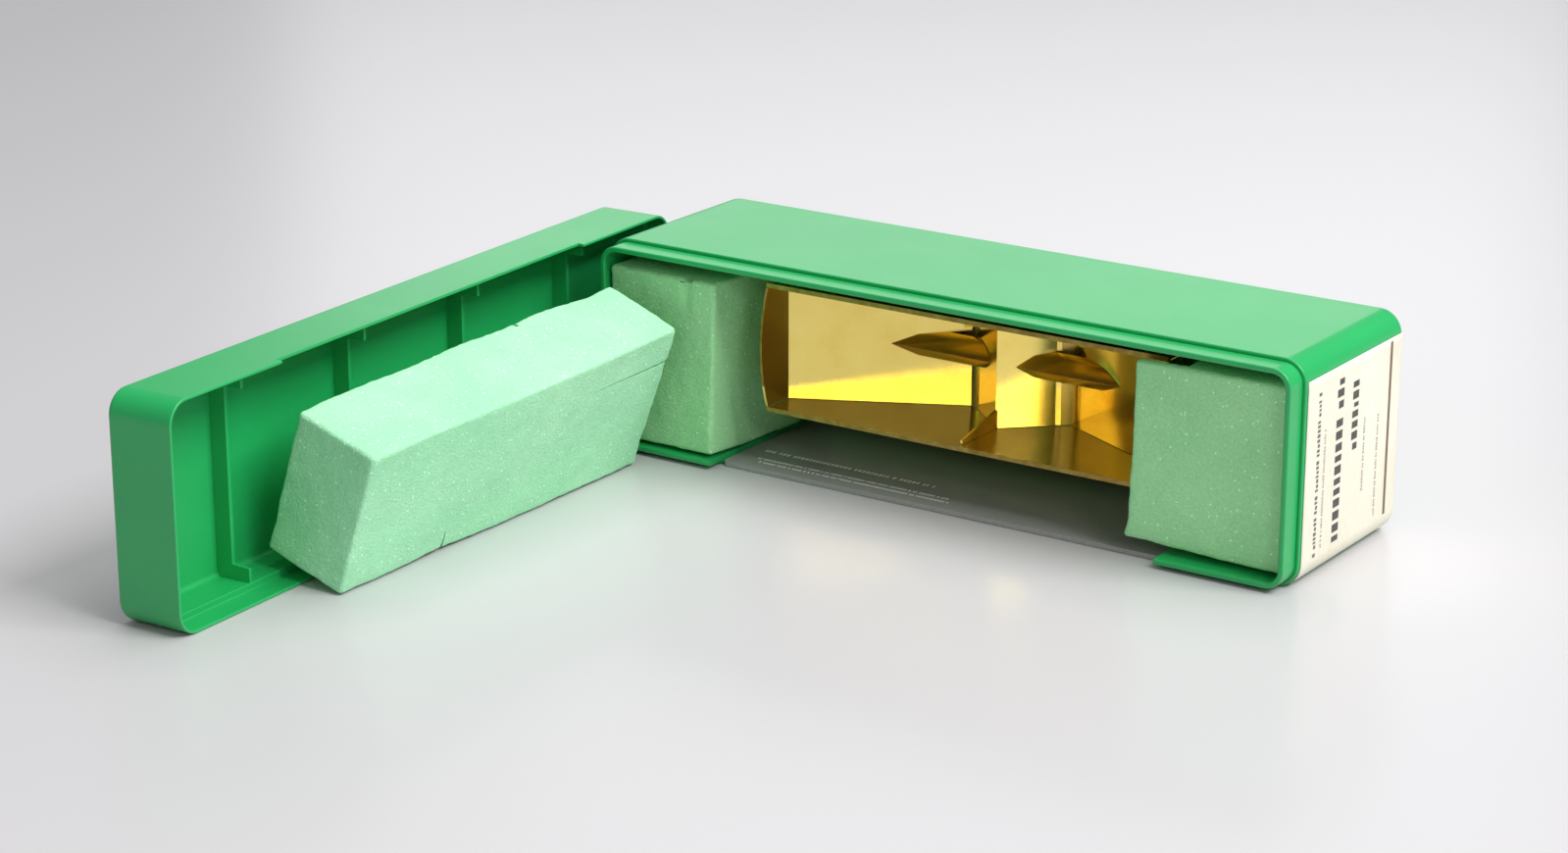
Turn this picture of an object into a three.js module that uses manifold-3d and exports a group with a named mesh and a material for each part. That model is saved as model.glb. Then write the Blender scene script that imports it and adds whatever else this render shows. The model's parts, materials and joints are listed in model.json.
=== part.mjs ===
// A brass HO-scale twin hopper car lying on its side in its two-piece storage case.
// Millimetres, +Z up. The origin is on the table, at the middle of the case base's length:
// X runs along the base, Y runs into it from its open front, and the lid stands at the left.

import * as THREE from 'three';
import * as BufferGeometryUtils from 'three/addons/utils/BufferGeometryUtils.js';
import Module from 'manifold-3d';

const wasm = await Module();
wasm.setup();

// ---- driving dimensions: storage case --------------------------------------------------
const CASE_LENGTH = 214.8;
const CASE_HEIGHT = 60;
const BASE_BACK = 29.5;
const BASE_DEPTH = 55.5;
const LID_DEPTH = 20;
const CASE_WALL = 2.6;
const CASE_CORNER = 6.4;
const CASE_BACK_EDGE = 1.5;
const LIP_REACH = 6.5;
const LIP_INSET = 1;
const WINDOW_HALF = 69.6;
const WINDOW_FRONT = -27;
const WINDOW_END = 20;
const WINDOW_PANE = 1.4;
const WINDOW_GAP = 0.3;
const LABEL_THICKNESS = 0.3;
const LABEL_TOP = 54.4;
const NOTCH_HALF = 65;
const NOTCH_DEPTH = 2;
const LID_RIBS = [-72.5, -23.5, 25.5, 74.5];
const LID_GUSSET = 6.4;
const LID_RIB_WIDTH = 1.2;
const LID_TURN = THREE.MathUtils.degToRad(92.6);
const LID_CENTRE = { x: -104.6, y: -102.9 };

// ---- driving dimensions: loose foam strip ----------------------------------------------
const STRIP_LENGTH = 125;
const STRIP_WIDTH = 25;
const STRIP_HEIGHT = 43.5;
const STRIP_LEAN = THREE.MathUtils.degToRad(18.6);
const STRIP_TURN = THREE.MathUtils.degToRad(0.4);
const STRIP_CORNER = { x: -88.4, y: -164.9, z: 0.1 };

// ---- driving dimensions: hopper car, upright, z = 0 at the rail ------------------------
const CAR_X = 5.6;
const CAR_RAIL_Y = 13.6;
const CAR_MIDDLE_Z = 35.5;
const RIM = 37.3;
const INSIDE_HALF_LENGTH = 61.3;
const INSIDE_HALF_WIDTH = 17;
const SHEET = 0.7;
const SOLDER_GAP = 0.1;
const CHORD_OUT = 0.6;
const SILL_BOTTOM = 11.5;
const SIDE_SILL_TOP = 13.2;
const STAKES = [-52.8, -39.6, -26.4, -13.2, 0, 13.2, 26.4, 39.6, 52.8];
const STAKE_WIDTH = 1.4;
const END_ARCH = 3;
const SLOPE_TOP = RIM - 9.8;
const SLOPE_RISE = 0.5;
const SLOPE_FOOT = 16;
const CREST = RIM - 18.9;
const RIDGE_FALL = 0.92;
const RIDGE_FOOT = 12;
const HOOD_PEAK = RIM - 22.3;
const HOOD_HALF = 3;
const HOOD_EAVE = HOOD_PEAK - 3.4;
const HOOD_SPLAY = 3.9;
const SILL_HALF = 2.2;
const CENTRE_SILL = { bottom: 8, top: 10.9, half: 49.5 };
const TRUCK_CENTRE = 43.5;
const AXLE_OFFSET = 9.6;
const AXLE_HEIGHT = 4.8;
const DOOR_THICKNESS = 0.6;
const COUPLER_HEIGHT = 10.06;
const COUPLER_PIVOT = 53.5;
const BOX_NOSE = 61.6;

// ---- solid helpers ---------------------------------------------------------------------
const V3 = THREE.Vector3;

function solid(geometry) {
  const bare = geometry.clone();
  for (const name of Object.keys(bare.attributes)) {
    if (name !== 'position') bare.deleteAttribute(name);
  }
  const merged = BufferGeometryUtils.mergeVertices(bare, 1e-5);
  const source = merged.index.array;
  const kept = [];
  for (let i = 0; i < source.length; i += 3) {
    const [a, b, c] = [source[i], source[i + 1], source[i + 2]];
    if (a !== b && b !== c && c !== a) kept.push(a, b, c);
  }
  const mesh = new wasm.Mesh({
    numProp: 3,
    vertProperties: new Float32Array(merged.attributes.position.array),
    triVerts: new Uint32Array(kept),
  });
  return new wasm.Manifold(mesh);
}

function toGeometry(manifold) {
  const mesh = manifold.getMesh();
  const geometry = new THREE.BufferGeometry();
  geometry.setAttribute('position', new THREE.BufferAttribute(mesh.vertProperties, 3));
  geometry.setIndex(new THREE.BufferAttribute(mesh.triVerts, 1));
  geometry.computeVertexNormals();
  return geometry;
}

function join(...geometries) {
  const solids = geometries.map(solid);
  return toGeometry(solids.reduce((sum, next) => sum.add(next)));
}

function cut(geometry, ...tools) {
  return toGeometry(tools.map(solid).reduce((rest, tool) => rest.subtract(tool), solid(geometry)));
}

function block(x, y, z) {
  const geometry = new THREE.BoxGeometry(x[1] - x[0], y[1] - y[0], z[1] - z[0]);
  return geometry.translate((x[0] + x[1]) / 2, (y[0] + y[1]) / 2, (z[0] + z[1]) / 2);
}

function outline(points) {
  return new THREE.Shape(points.map(([a, b]) => new THREE.Vector2(a, b)));
}

function roundedRectangle(halfWidth, bottom, top, radius) {
  const shape = new THREE.Shape();
  const corners = [
    [halfWidth - radius, bottom + radius, -Math.PI / 2],
    [halfWidth - radius, top - radius, 0],
    [radius - halfWidth, top - radius, Math.PI / 2],
    [radius - halfWidth, bottom + radius, Math.PI],
  ];
  for (const [x, y, start] of corners) {
    shape.absarc(x, y, radius, start, start + Math.PI / 2, false);
  }
  return shape;
}

const EXTRUDE = { bevelEnabled: false, curveSegments: 7 };

// The outline lies in x and z, and the solid runs along y.
function alongY(shape, from, to, options = {}) {
  const geometry = new THREE.ExtrudeGeometry(shape, { ...EXTRUDE, depth: to - from, ...options });
  return geometry.rotateX(Math.PI / 2).translate(0, to, 0);
}

// The outline lies in y and z, and the solid runs along x.
function alongX(shape, from, to, options = {}) {
  const geometry = new THREE.ExtrudeGeometry(shape, { ...EXTRUDE, depth: to - from, ...options });
  const basis = new THREE.Matrix4().makeBasis(new V3(0, 1, 0), new V3(0, 0, 1), new V3(1, 0, 0));
  return geometry.applyMatrix4(basis).translate(from, 0, 0);
}

// The outline lies in x and y, and the solid runs along z.
function alongZ(shape, from, to, options = {}) {
  const geometry = new THREE.ExtrudeGeometry(shape, { ...EXTRUDE, depth: to - from, ...options });
  return geometry.translate(0, 0, from);
}

function rod(radius, from, to, axis, at, sides = 16) {
  const geometry = new THREE.CylinderGeometry(radius, radius, to - from, sides);
  if (axis === 'x') geometry.rotateZ(-Math.PI / 2).translate((from + to) / 2, at[0], at[1]);
  if (axis === 'y') geometry.translate(at[0], (from + to) / 2, at[1]);
  if (axis === 'z') geometry.rotateX(Math.PI / 2).translate(at[0], at[1], (from + to) / 2);
  return geometry;
}

// ---- materials -------------------------------------------------------------------------
function finish(color, roughness, metalness = 0) {
  return () => new THREE.MeshStandardMaterial({ color, roughness, metalness });
}

const MATERIALS = {
  casePlastic: finish(0x2ea45c, 0.42),
  windowPlastic: finish(0xb9c8c1, 0.15),
  labelPaper: finish(0xefecd6, 0.75),
  foam: finish(0xa6dcb6, 0.95),
  brass: finish(0xc6922c, 0.3, 1),
  wheelMetal: finish(0x9d9a92, 0.35, 1),
  couplerMetal: finish(0x6f675c, 0.5, 1),
  screwMetal: finish(0xa8a49a, 0.35, 1),
};

function part(name, geometry, material) {
  const mesh = new THREE.Mesh(geometry, MATERIALS[material]());
  mesh.name = name;
  return mesh;
}

// ---- storage case ----------------------------------------------------------------------
const HALF = CASE_LENGTH / 2;

function shell(depth, front) {
  const bevel = CASE_BACK_EDGE;
  const outer = roundedRectangle(HALF - bevel, bevel, CASE_HEIGHT - bevel, CASE_CORNER - bevel);
  const options = { bevelEnabled: true, bevelSize: bevel, bevelThickness: bevel, bevelSegments: 3 };
  const body = alongY(outer, front, front + depth - bevel, options);
  const ahead = block([-HALF - 1, HALF + 1], [front - bevel - 1, front], [-1, CASE_HEIGHT + 1]);
  const pocketRadius = CASE_CORNER - CASE_WALL;
  const pocketShape = roundedRectangle(HALF - CASE_WALL, CASE_WALL, CASE_HEIGHT - CASE_WALL, pocketRadius);
  const pocket = alongY(pocketShape, front - 1, front + depth - CASE_WALL);
  return cut(body, ahead, pocket);
}

function caseBase() {
  const front = BASE_BACK - BASE_DEPTH;
  const inset = LIP_INSET;
  const lipShape = roundedRectangle(HALF - inset, inset, CASE_HEIGHT - inset, CASE_CORNER - inset);
  const hole = CASE_WALL;
  const holeShape = roundedRectangle(HALF - hole, hole, CASE_HEIGHT - hole, CASE_CORNER - hole);
  const lip = cut(
    alongY(lipShape, front - LIP_REACH, front + 2),
    alongY(holeShape, front - LIP_REACH - 1, front + 3),
  );
  const opening = block([-WINDOW_HALF, WINDOW_HALF], [front - LIP_REACH - 1, WINDOW_END], [-1, 4]);
  return part('case_base', cut(join(shell(BASE_DEPTH, front), lip), opening), 'casePlastic');
}

function sideWindow() {
  const half = WINDOW_HALF - WINDOW_GAP;
  const pane = block([-half, half], [WINDOW_FRONT, WINDOW_END - WINDOW_GAP], [0, WINDOW_PANE]);
  return part('side_window', pane, 'windowPlastic');
}

// The label follows the flat end and the rounding below it.
function endLabel() {
  const inner = HALF + 0.1;
  const arcRadius = CASE_CORNER + 0.1;
  const centre = [HALF - CASE_CORNER, CASE_CORNER];
  const turn = -Math.PI / 3;
  const shape = new THREE.Shape();
  shape.moveTo(inner, LABEL_TOP);
  shape.lineTo(inner, CASE_CORNER);
  shape.absarc(centre[0], centre[1], arcRadius, 0, turn, true);
  shape.absarc(centre[0], centre[1], arcRadius + LABEL_THICKNESS, turn, 0, false);
  shape.lineTo(inner + LABEL_THICKNESS, LABEL_TOP);
  const front = BASE_BACK - BASE_DEPTH + 1;
  return part('end_label', alongY(shape, front, BASE_BACK - 1.6), 'labelPaper');
}

function caseLid() {
  const body = shell(LID_DEPTH, 0);
  const rabbet = LIP_INSET - 0.15;
  const rabbetShape = roundedRectangle(HALF - rabbet, rabbet, CASE_HEIGHT - rabbet, CASE_CORNER - rabbet);
  const recess = alongY(rabbetShape, -1, LIP_REACH + 0.4);
  const notch = block([-NOTCH_HALF, NOTCH_HALF], [-1, NOTCH_DEPTH], [CASE_HEIGHT - 4, CASE_HEIGHT + 1]);
  const floor = LID_DEPTH - CASE_WALL;
  const gusset = [LIP_REACH + 0.6, LID_GUSSET];
  const foot = CASE_WALL - 0.5;
  const ribs = LID_RIBS.map((x) => {
    const shape = outline([
      [floor + 0.5, foot], [gusset[0], foot], gusset, [floor - 5, gusset[1]],
      [floor - 5, CASE_HEIGHT - gusset[1]], [gusset[0], CASE_HEIGHT - gusset[1]],
      [gusset[0], CASE_HEIGHT - foot], [floor + 0.5, CASE_HEIGHT - foot],
    ]);
    return alongX(shape, x - LID_RIB_WIDTH / 2, x + LID_RIB_WIDTH / 2);
  });
  const lid = part('case_lid', join(cut(body, recess, notch), ...ribs), 'casePlastic');
  lid.position.set(LID_CENTRE.x, LID_CENTRE.y, 0);
  lid.rotation.z = LID_TURN;
  return lid;
}

// ---- foam pads -------------------------------------------------------------------------
const INSIDE_LEFT = -HALF + CASE_WALL;
const PAD_FRONT = -28.5;
const PAD_BOTTOM = CASE_WALL + 0.4;
const LEFT_PAD = { front: -31, back: 10, cornerX: -70.4, backX: -67, top: 53.4 };

// The left pad's free face runs a little towards the car as it goes back.
function foamPadLeft() {
  const left = INSIDE_LEFT + 0.4;
  const { front, back, cornerX, backX, top } = LEFT_PAD;
  const plan = outline([[left, front], [cornerX, front], [backX, back], [left, back]]);
  const full = alongZ(plan, PAD_BOTTOM, top);
  const corner = outline([[left - 1, -1], [left + 3.4, 2], [left - 1, 6.6]]);
  return part('foam_pad_left', cut(full, alongY(corner, front - 1, back + 1)), 'foam');
}

function foamPadRight() {
  const right = HALF - CASE_WALL - 0.4;
  const carEnd = CAR_X + BOX_NOSE + 8;
  const bottom = PAD_BOTTOM + 0.4;
  const top = 53.4;
  const end = outline([
    [carEnd, bottom], [right - 3, bottom], [right, bottom + 3], [right, top], [carEnd, top],
  ]);
  const full = alongY(end, PAD_FRONT, 18);
  const flap = outline([
    [57.8, bottom + 0.8], [carEnd + 1, bottom], [carEnd + 1, top], [60, top], [59.4, 30], [58.8, 8],
  ]);
  const face = alongY(flap, PAD_FRONT, PAD_FRONT + 1.6);
  return part('foam_pad_right', join(full, face), 'foam');
}

function foamPadBack() {
  const inner = BASE_BACK - CASE_WALL - 0.4;
  const pad = block([-62, 72], [CAR_RAIL_Y + 1.2, inner], [PAD_BOTTOM, CASE_HEIGHT - CASE_WALL - 3]);
  return part('foam_pad_back', pad, 'foam');
}

function foamStrip() {
  const bar = roundedBar(STRIP_LENGTH, STRIP_WIDTH, STRIP_HEIGHT, 1);
  const strip = part('foam_strip', bar, 'foam');
  strip.rotation.y = STRIP_LEAN;
  const turned = new THREE.Group();
  turned.add(strip);
  turned.rotation.z = STRIP_TURN;
  turned.position.set(STRIP_CORNER.x, STRIP_CORNER.y, STRIP_CORNER.z);
  return turned;
}

// A bar from its lower front corner: length along y, width towards -x, height along z.
function roundedBar(length, width, height, edge) {
  const shape = outline([
    [-edge, 0], [0, edge], [0, height - edge], [-edge, height],
    [edge - width, height], [-width, height - edge], [-width, edge], [edge - width, 0],
  ]);
  return alongY(shape, 0, length);
}

// ---- hopper body -----------------------------------------------------------------------
const SIDE_OUT = INSIDE_HALF_WIDTH + SHEET;
const INNER = INSIDE_HALF_WIDTH - SOLDER_GAP;
const slopeAt = (x) => SLOPE_TOP - SLOPE_RISE * (INSIDE_HALF_LENGTH - Math.abs(x));
const ridgeAt = (x) => CREST - RIDGE_FALL * Math.abs(x);
const SLOPE_UNDER = SHEET * Math.hypot(1, SLOPE_RISE);
const RIDGE_UNDER = SHEET * Math.hypot(1, RIDGE_FALL);

// One side: sheet with its two hopper bins, chord, side sill and stakes, on the +y side.
function sideGeometry() {
  const end = INSIDE_HALF_LENGTH;
  const bins = [-1, 1].flatMap((s) => {
    const bin = [
      [s * (end - (SLOPE_TOP - SLOPE_UNDER - SILL_BOTTOM) / SLOPE_RISE), SILL_BOTTOM],
      [s * (SLOPE_FOOT + 0.4), slopeAt(SLOPE_FOOT) - SLOPE_UNDER],
      [s * RIDGE_FOOT, ridgeAt(RIDGE_FOOT) - RIDGE_UNDER],
      [s * (CREST - RIDGE_UNDER - SILL_BOTTOM) / RIDGE_FALL, SILL_BOTTOM],
    ];
    return s < 0 ? bin : bin.reverse();
  });
  const sheetShape = outline([
    [-end, RIM - 0.2], [-end, SILL_BOTTOM], ...bins, [end, SILL_BOTTOM], [end, RIM - 0.2],
  ]);
  const window = (s) => {
    const foot = end - (SLOPE_TOP - SLOPE_UNDER - SIDE_SILL_TOP - 0.8) / SLOPE_RISE;
    const points = [
      [s * foot, SIDE_SILL_TOP],
      [s * (end - 1.8), SIDE_SILL_TOP],
      [s * (end - 1.8), slopeAt(end - 1.8) - SLOPE_UNDER - 0.8],
    ];
    return alongY(outline(s > 0 ? points : points.reverse()), SIDE_OUT - 2, SIDE_OUT + 0.05);
  };
  const sheet = cut(alongY(sheetShape, INSIDE_HALF_WIDTH, SIDE_OUT), window(-1), window(1));
  const out = SIDE_OUT + CHORD_OUT;
  const chord = block([-end - 0.6, end + 0.6], [INSIDE_HALF_WIDTH, out], [RIM - 1.1, RIM]);
  const sill = block([-end, end], [SIDE_OUT - 0.2, out - 0.2], [SILL_BOTTOM, SIDE_SILL_TOP]);
  const stakes = STAKES.map((x) => {
    const half = STAKE_WIDTH / 2;
    return block([x - half, x + half], [SIDE_OUT - 0.2, out - 0.1], [SILL_BOTTOM + 0.2, RIM - 0.5]);
  });
  return join(sheet, chord, sill, ...stakes);
}

function sides() {
  const far = sideGeometry();
  const near = sideGeometry().rotateZ(Math.PI);
  return [part('car_side_upper', far, 'brass'), part('car_side_lower', near, 'brass')];
}

// The end sheet's top edge is an arc that rises between the corners.
function endSheet(name, s) {
  const half = INNER;
  const radius = (half * half + END_ARCH * END_ARCH) / (2 * END_ARCH);
  const sweep = Math.asin(half / radius);
  const shape = new THREE.Shape();
  shape.moveTo(-half, SLOPE_TOP - 3.2);
  shape.lineTo(half, SLOPE_TOP - 3.2);
  shape.absarc(0, RIM + END_ARCH - radius, radius, Math.PI / 2 - sweep, Math.PI / 2 + sweep, false);
  const from = INSIDE_HALF_LENGTH + SOLDER_GAP;
  const plate = alongX(shape, from, from + SHEET, { curveSegments: 16 });
  const bead = block([from, from + SHEET + 0.8], [-half, half], [RIM - 6.4, RIM - 5.4]);
  const foot = block([from, from + SHEET + 0.8], [-half, half], [SLOPE_TOP - 3.2, SLOPE_TOP - 2.2]);
  const sheet = join(plate, bead, foot);
  return part(name, s > 0 ? sheet : sheet.rotateZ(Math.PI), 'brass');
}

function slopeSheet(name, s) {
  const end = INSIDE_HALF_LENGTH;
  const plate = alongY(outline([
    [end, SLOPE_TOP], [SLOPE_FOOT, slopeAt(SLOPE_FOOT)],
    [SLOPE_FOOT + 0.3, slopeAt(SLOPE_FOOT) - SLOPE_UNDER], [end, SLOPE_TOP - SLOPE_UNDER],
  ].reverse()), -INNER, INNER);
  const clear = 0.15;
  const slotEnd = end - (SLOPE_TOP - CENTRE_SILL.top - 1.2) / SLOPE_RISE;
  const slot = block([0, slotEnd], [-SILL_HALF - clear, SILL_HALF + clear], [0, CENTRE_SILL.top + 2]);
  const sheet = cut(plate, slot);
  return part(name, s > 0 ? sheet : sheet.rotateZ(Math.PI), 'brass');
}

// An inverted V across the car, with a gusset up each side sheet at the crest.
function centreRidge() {
  const foot = RIDGE_FOOT;
  const plate = alongY(outline([
    [-foot, ridgeAt(foot)], [-foot, ridgeAt(foot) - RIDGE_UNDER], [0, CREST - RIDGE_UNDER],
    [foot, ridgeAt(foot) - RIDGE_UNDER], [foot, ridgeAt(foot)], [0, CREST],
  ]), -INNER, INNER);
  const gusset = (s) => {
    const points = [
      [s * INNER, CREST - 0.6], [s * (INNER - 5.2), CREST - 0.6],
      [s * (INNER - 1.2), RIM - 1.4], [s * INNER, RIM - 1.4],
    ];
    return alongX(outline(s > 0 ? points.reverse() : points), -0.35, 0.35);
  };
  const clear = 0.15;
  const half = SILL_HALF + clear;
  const slot = block([-foot - 1, foot + 1], [-half, half], [0, CENTRE_SILL.top + clear]);
  return part('centre_ridge', cut(join(plate, gusset(-1), gusset(1)), slot), 'brass');
}

// The gabled hood over the centre sill in one bay, trimmed by the slope and the ridge.
function sillHood(name, s) {
  const base = CENTRE_SILL.bottom - 0.3;
  const section = outline([
    [-HOOD_SPLAY, base], [HOOD_SPLAY, base], [HOOD_HALF, HOOD_EAVE],
    [0, HOOD_PEAK], [-HOOD_HALF, HOOD_EAVE],
  ]);
  const bar = alongX(section, 1, 42);
  const clear = 0.15;
  const tunnel = block([0, 43], [-SILL_HALF - clear, SILL_HALF + clear], [base - 1, CENTRE_SILL.top + clear]);
  const underSlope = alongY(outline([
    [0, slopeAt(0) + clear], [0, -40], [60, -40], [60, slopeAt(60) + clear],
  ]), -20, 20);
  const underRidge = alongY(outline([
    [-2, -40], [45, -40], [45, ridgeAt(45) + clear], [0, CREST + clear], [-2, CREST + clear],
  ]), -20, 20);
  const hood = cut(bar, tunnel, underSlope, underRidge);
  return part(name, s > 0 ? hood : hood.rotateZ(Math.PI), 'brass');
}

// A hopper door, hinged at the ridge foot and closing against the slope sheet's foot.
const DOOR_HINGE = { x: RIDGE_FOOT + 0.9, z: ridgeAt(RIDGE_FOOT) - 1.16 };

function hopperDoor(name, s, from, to) {
  const top = [DOOR_HINGE.x, DOOR_HINGE.z];
  const bottom = [SLOPE_FOOT + 0.9, slopeAt(SLOPE_FOOT) - SLOPE_UNDER - 0.8];
  const along = new THREE.Vector2(bottom[0] - top[0], bottom[1] - top[1]).normalize();
  const across = new THREE.Vector2(along.y, -along.x).multiplyScalar(DOOR_THICKNESS);
  const panel = alongY(outline([
    top, [top[0] + across.x, top[1] + across.y],
    [bottom[0] + across.x, bottom[1] + across.y], bottom,
  ].reverse()), from, to);
  const knuckle = rod(0.45, from, to, 'y', [top[0] + across.x * 0.5, top[1] + across.y * 0.5], 12);
  const door = join(panel, knuckle);
  return part(name, s > 0 ? door : door.rotateZ(Math.PI), 'brass');
}

// ---- underframe ------------------------------------------------------------------------
function centreSill() {
  const { bottom, top, half } = CENTRE_SILL;
  const beam = block([-half, half], [-SILL_HALF, SILL_HALF], [bottom, top]);
  const holes = [-1, 1].map((s) => rod(0.95, bottom - 1, top - 0.8, 'z', [s * TRUCK_CENTRE, 0]));
  return part('centre_sill', cut(beam, ...holes), 'brass');
}

// The end sill with its two corner posts and a step stirrup under each corner.
function endSill(name, s) {
  const from = INSIDE_HALF_LENGTH + SOLDER_GAP;
  const beam = block([from, from + 1.8], [-17.6, 17.6], [8.6, 12.8]);
  const mouth = block([from - 1, from + 3], [-3.7, 3.7], [7, 12]);
  const posts = [-1, 1].map((side) => {
    const y = side * 15.4;
    return block([from + 0.2, from + 1.4], [y - 0.8, y + 0.8], [12, SLOPE_TOP - 3.3]);
  });
  const braces = [-1, 1].map((side) => {
    const top = SLOPE_TOP - 4;
    const points = [[side * 3, 12.5], [side * 5, 12.5], [side * 15, top], [side * 13.4, top]];
    return alongX(outline(side > 0 ? points : points.reverse()), from + 0.3, from + 1.1);
  });
  const steps = [-1, 1].map((side) => {
    const y = [side * 17.5, side * 16.9].sort((a, b) => a - b);
    const stirrup = cut(
      block([from - 5, from + 1.5], y, [4.6, 8.9]),
      block([from - 4.4, from + 0.9], [y[0] - 1, y[1] + 1], [5.2, 8.6]),
    );
    const tread = block([from - 5, from - 4.4], y, [8, 11.3]);
    return join(stirrup, tread);
  });
  const sill = cut(join(beam, ...posts, ...braces, ...steps), mouth);
  return part(name, s > 0 ? sill : sill.rotateZ(Math.PI), 'brass');
}

function bodyBolster(name, s) {
  const x = s * TRUCK_CENTRE;
  const shape = outline([
    [-16, 12.4], [-SILL_HALF - 0.2, 8.8], [-SILL_HALF - 0.2, 11.1], [SILL_HALF + 0.2, 11.1],
    [SILL_HALF + 0.2, 8.8], [16, 12.4], [16, 14.6], [-16, 14.6],
  ]);
  return part(name, alongX(shape, x - 1.3, x + 1.3), 'brass');
}

function ladder(name, x, side) {
  const out = SIDE_OUT + CHORD_OUT;
  const y = side > 0 ? [out - 0.5, out] : [-out, 0.5 - out];
  const bottom = SIDE_SILL_TOP + 0.4;
  const top = RIM - 1.4;
  const stiles = [-1.9, 1.5].map((dx) => block([x + dx, x + dx + 0.4], y, [bottom, top]));
  const rungs = [0, 1, 2, 3, 4].map((i) => {
    const z = bottom + 1.6 + i * 4.6;
    return block([x - 1.7, x + 1.7], y, [z, z + 0.4]);
  });
  return part(name, join(...stiles, ...rungs), 'brass');
}

// ---- hand brake and air brake at the right-hand end ------------------------------------
const BRAKE_HUB = { x: INSIDE_HALF_LENGTH + 3.1, y: 6.5, z: 28.6 };

function brakeParts() {
  const { x, y, z } = BRAKE_HUB;
  const ring = cut(rod(3.2, x, x + 0.7, 'x', [y, z], 24), rod(2.6, x - 1, x + 2, 'x', [y, z], 24));
  const hub = rod(0.7, x - 0.3, x + 0.8, 'x', [y, z], 12);
  const spokes = [0, 1, 2, 3].map((i) => {
    const bar = block([-0.2, 0.2], [-2.9, 2.9], [-0.25, 0.25]);
    return bar.rotateX((i * Math.PI) / 4).translate(x + 0.35, y, z);
  });
  const wheel = join(ring, hub, ...spokes);
  const housing = block([INSIDE_HALF_LENGTH + 1, x - 0.5], [y - 1.6, y + 1.6], [z - 2.6, z + 1.8]);
  const platform = block([46.2, INSIDE_HALF_LENGTH - 0.2], [-11, 11], [12.95, 13.5]);
  const cylinder = join(
    rod(2.1, 47.4, 53.6, 'x', [-6.4, 16.1], 18),
    rod(2.5, 50, 50.7, 'x', [-6.4, 16.1], 18),
    rod(0.5, 53.4, 57.2, 'x', [-6.4, 16.1], 10),
  );
  const reservoir = join(
    rod(1.9, 47.4, 57.2, 'x', [6.2, 15.9], 18),
    block([48.6, 49.4], [4.9, 7.5], [13.7, 15]),
    block([55, 55.8], [4.9, 7.5], [13.7, 15]),
  );
  return {
    wheel: part('brake_wheel', wheel, 'brass'),
    fixed: [
      part('brake_housing', housing, 'brass'),
      part('brake_platform', platform, 'brass'),
      part('brake_cylinder', cylinder, 'brass'),
      part('air_reservoir', reservoir, 'brass'),
    ],
  };
}

// ---- couplers --------------------------------------------------------------------------
function couplerParts(letter, s) {
  const low = COUPLER_HEIGHT - 1.9;
  const high = COUPLER_HEIGHT + 1.7;
  const turn = (geometry) => (s > 0 ? geometry : geometry.rotateZ(Math.PI));
  const cavity = outline([
    [COUPLER_PIVOT - 2, -1.9], [BOX_NOSE + 1, -2.8], [BOX_NOSE + 1, 2.8], [COUPLER_PIVOT - 2, 1.9],
  ]);
  const hollow = cut(
    block([CENTRE_SILL.half + 0.3, BOX_NOSE], [-3.3, 3.3], [low, high]),
    alongZ(cavity, low + 0.7, high - 0.7),
  );
  const post = rod(0.9, low + 0.3, high - 0.3, 'z', [COUPLER_PIVOT, 0], 14);
  const box = cut(join(hollow, post), rod(0.5, low - 1, high - 0.4, 'z', [COUPLER_PIVOT, 0], 12));
  const shank = join(
    rod(1.75, low + 0.85, high - 0.85, 'z', [COUPLER_PIVOT, 0], 18),
    block([COUPLER_PIVOT + 0.5, BOX_NOSE + 2], [-0.9, 0.9], [low + 0.85, high - 0.85]),
  );
  const x = BOX_NOSE + 1.4;
  const head = outline([
    [x, -1.3], [x + 1.4, -2.2], [x + 3.4, -2.4], [x + 3.4, -1.5], [x + 1.9, -1], [x + 1.9, 0.5],
    [x + 3.3, 0.9], [x + 5, -0.2], [x + 5.2, 1.2], [x + 3.6, 2.5], [x + 1, 2.3], [x, 1.3],
  ]);
  const claw = alongZ(head, low + 0.2, high - 0.2);
  const pin = rod(0.35, low - 1.6, low + 0.4, 'z', [x + 3.8, 1.6], 8);
  const bore = rod(1, low, high, 'z', [COUPLER_PIVOT, 0], 14);
  const coupler = cut(join(shank, claw, pin), bore);
  const screw = join(
    rod(1.1, low - 0.75, low - 0.15, 'z', [COUPLER_PIVOT, 0], 12),
    rod(0.4, low - 0.3, high - 0.8, 'z', [COUPLER_PIVOT, 0], 10),
  );
  return {
    box: part(`coupler_box_${letter}`, turn(box), 'brass'),
    coupler: part(`coupler_${letter}`, turn(coupler), 'couplerMetal'),
    screw: part(`coupler_screw_${letter}`, turn(screw), 'screwMetal'),
  };
}

// ---- trucks ----------------------------------------------------------------------------
const FRAME_IN = 10.3;
const FRAME_OUT = 11.8;
const BOX_OUT = 12.9;
const AXLE_TIP = 0.75;

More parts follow.
